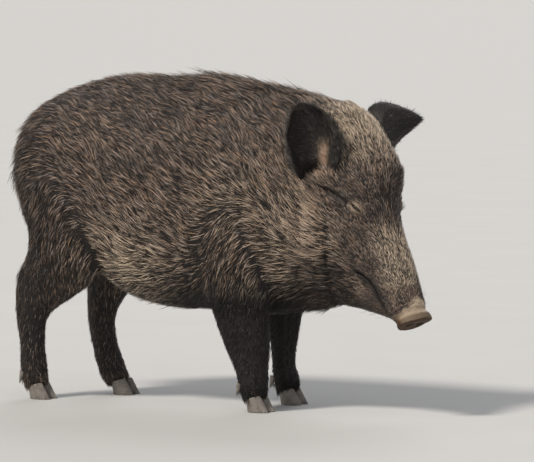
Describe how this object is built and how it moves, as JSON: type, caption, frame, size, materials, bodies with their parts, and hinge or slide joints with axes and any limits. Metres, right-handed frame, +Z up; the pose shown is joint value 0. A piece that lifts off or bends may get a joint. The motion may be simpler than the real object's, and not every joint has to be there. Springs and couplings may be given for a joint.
{
  "type": "wild boar",
  "caption": "Life-size still model of an adult wild boar in winter coat, standing square with its head lowered and turned a little to its right",
  "frame": {"origin": "under the middle of the bounding box, on the floor the hooves stand on", "axes": "+X from the tail to the nose, along the trunk; +Y to the boar's left; +Z up"},
  "size_m": [1.144, 0.3464, 0.7753],
  "materials": {
    "body_coat": "matte bristle coat, dark at the roots and buff at the tips",
    "face_coat": "short matte hair, greyer than the body",
    "dark_coat": "short black-brown hair",
    "snout_skin": "bare, slightly moist leathery skin",
    "eye": "wet and glossy",
    "hoof_horn": "worn grey horn, dull"
  },
  "bodies": {
    "root": {"trunk": "body_coat", "neck": "body_coat", "head": "face_coat", "lower_jaw": "face_coat", "snout_disc": "snout_skin", "ear_right": "dark_coat", "ear_left": "dark_coat", "eye_right": "eye", "eye_left": "eye", "tail": "body_coat", "leg_fore_right_upper": "body_coat", "leg_fore_right_lower": "dark_coat", "foot_fore_right": "dark_coat", "leg_fore_left_upper": "body_coat", "leg_fore_left_lower": "dark_coat", "foot_fore_left": "dark_coat", "leg_hind_right_upper": "body_coat", "leg_hind_right_lower": "dark_coat", "foot_hind_right": "dark_coat", "leg_hind_left_upper": "body_coat", "leg_hind_left_lower": "dark_coat", "foot_hind_left": "dark_coat", "hoof_fore_right_outer": "hoof_horn", "hoof_fore_right_inner": "hoof_horn", "hoof_fore_left_outer": "hoof_horn", "hoof_fore_left_inner": "hoof_horn", "hoof_hind_right_outer": "hoof_horn", "hoof_hind_right_inner": "hoof_horn", "hoof_hind_left_outer": "hoof_horn", "hoof_hind_left_inner": "hoof_horn", "dewclaw_fore_right_outer": "hoof_horn", "dewclaw_fore_right_inner": "hoof_horn", "dewclaw_fore_left_outer": "hoof_horn", "dewclaw_fore_left_inner": "hoof_horn", "dewclaw_hind_right_outer": "hoof_horn", "dewclaw_hind_right_inner": "hoof_horn", "dewclaw_hind_left_outer": "hoof_horn", "dewclaw_hind_left_inner": "hoof_horn"}
  },
  "joints": []
}
